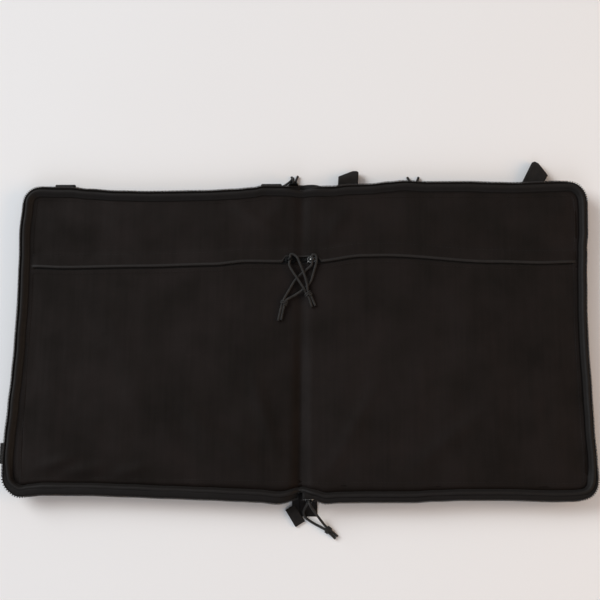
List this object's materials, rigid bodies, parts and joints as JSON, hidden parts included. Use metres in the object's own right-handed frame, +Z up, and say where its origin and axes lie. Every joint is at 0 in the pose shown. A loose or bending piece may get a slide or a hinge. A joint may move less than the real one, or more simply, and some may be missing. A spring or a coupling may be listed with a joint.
{
  "type": "portfolio case",
  "caption": "Soft black nylon portfolio case lying open like a book, with padded leaves, a zip round the edge, zipped pockets inside and out, webbing handles and cord zip pulls.",
  "frame": {"origin": "middle of the spine on the table, under the fold line", "axes": "+X to the right leaf, +Y to the end of the spine with the handles, +Z up from the table"},
  "size_m": [0.7078, 0.4553, 0.0314],
  "materials": {
    "shell_fabric": "matte",
    "lining": "matte",
    "foam": "matte",
    "stiffener": "matte",
    "zip_tape": "matte",
    "zip_coil": "satin",
    "binding": "matte",
    "webbing": "matte",
    "slider_metal": "satin",
    "cord": "matte"
  },
  "bodies": {
    "left_leaf": {"left_outer_shell": "shell_fabric", "left_stiffener_board": "stiffener", "left_foam_pad": "foam", "left_lining": "lining", "left_pocket_panel": "shell_fabric", "left_header_panel": "shell_fabric", "left_pocket_zip_tape": "zip_tape", "left_pocket_zip_coil": "zip_coil", "left_edge_binding": "binding", "left_main_zip_tape": "zip_tape", "left_main_zip_coil": "zip_coil", "left_outer_pocket": "shell_fabric", "left_outer_pocket_foam": "foam", "left_outer_zip_tape": "zip_tape", "left_outer_zip_coil": "zip_coil", "left_handle_anchors": "webbing", "left_side_tab": "webbing", "spine_strip": "shell_fabric", "zip_end_tag": "webbing", "zip_top_stop": "webbing"},
    "right_leaf": {"right_outer_shell": "shell_fabric", "right_stiffener_board": "stiffener", "right_foam_pad": "foam", "right_lining": "lining", "right_pocket_panel": "shell_fabric", "right_header_panel": "shell_fabric", "right_pocket_zip_tape": "zip_tape", "right_pocket_zip_coil": "zip_coil", "right_edge_binding": "binding", "right_main_zip_tape": "zip_tape", "right_main_zip_coil": "zip_coil", "right_outer_pocket": "shell_fabric", "right_outer_pocket_foam": "foam", "right_outer_zip_tape": "zip_tape", "right_outer_zip_coil": "zip_coil", "right_handle_anchors": "webbing"},
    "left_handle": {"left_handle": "webbing"},
    "right_handle": {"right_handle": "webbing"},
    "left_pocket_slider": {"left_pocket_slider": "slider_metal", "left_pocket_pull": "cord", "left_pocket_knot": "cord"},
    "right_pocket_slider": {"right_pocket_slider": "slider_metal", "right_pocket_pull": "cord", "right_pocket_knot": "cord"},
    "bottom_main_slider": {"bottom_main_slider": "slider_metal", "bottom_main_pull": "cord", "bottom_main_knot": "cord"},
    "top_main_slider": {"top_main_slider": "slider_metal", "top_main_pull": "cord", "top_main_knot": "cord"},
    "left_outer_slider": {"left_outer_slider": "slider_metal"},
    "right_outer_slider": {"right_outer_slider": "slider_metal", "right_outer_pull": "cord", "right_outer_knot": "cord"}
  },
  "joints": [
    {"name": "spine_fold", "type": "hinge", "parent": "left_leaf", "child": "right_leaf", "pos_m": [0, 0, 0.0229], "axis": [0, -1, 0], "range_deg": [0, 180], "deforming": ["left_pocket_pull", "left_pocket_knot", "right_pocket_pull", "right_pocket_knot"]},
    {"name": "left_handle_swing", "type": "hinge", "parent": "left_leaf", "child": "left_handle", "pos_m": [-0.171, 0.195, 0.00367], "axis": [1, 0, 0], "range_deg": [0, 180]},
    {"name": "right_handle_swing", "type": "hinge", "parent": "right_leaf", "child": "right_handle", "pos_m": [0.171, 0.215, 0.00367], "axis": [1, 0, 0], "range_deg": [0, 180]},
    {"name": "left_pocket_slide", "type": "slide", "parent": "left_leaf", "child": "left_pocket_slider", "axis": [-1, 0, 0], "range_m": [0, 0.305], "deforming": ["left_pocket_pull", "left_pocket_knot"]},
    {"name": "right_pocket_slide", "type": "slide", "parent": "right_leaf", "child": "right_pocket_slider", "axis": [1, 0, 0], "range_m": [0, 0.305], "deforming": ["right_pocket_pull", "right_pocket_knot"]},
    {"name": "bottom_main_slide", "type": "slide", "parent": "right_leaf", "child": "bottom_main_slider", "axis": [1, 0, 0], "range_m": [0, 0.305], "deforming": ["bottom_main_pull", "bottom_main_knot"]},
    {"name": "top_main_slide", "type": "slide", "parent": "left_leaf", "child": "top_main_slider", "axis": [-1, 0, 0], "range_m": [0, 0.305], "deforming": ["top_main_pull", "top_main_knot"]},
    {"name": "left_outer_slide", "type": "slide", "parent": "left_leaf", "child": "left_outer_slider", "axis": [1, 0, 0], "range_m": [0, 0.27]},
    {"name": "right_outer_slide", "type": "slide", "parent": "right_leaf", "child": "right_outer_slider", "axis": [1, 0, 0], "range_m": [-0.11, 0.18], "deforming": ["right_outer_pull", "right_outer_knot"]}
  ]
}
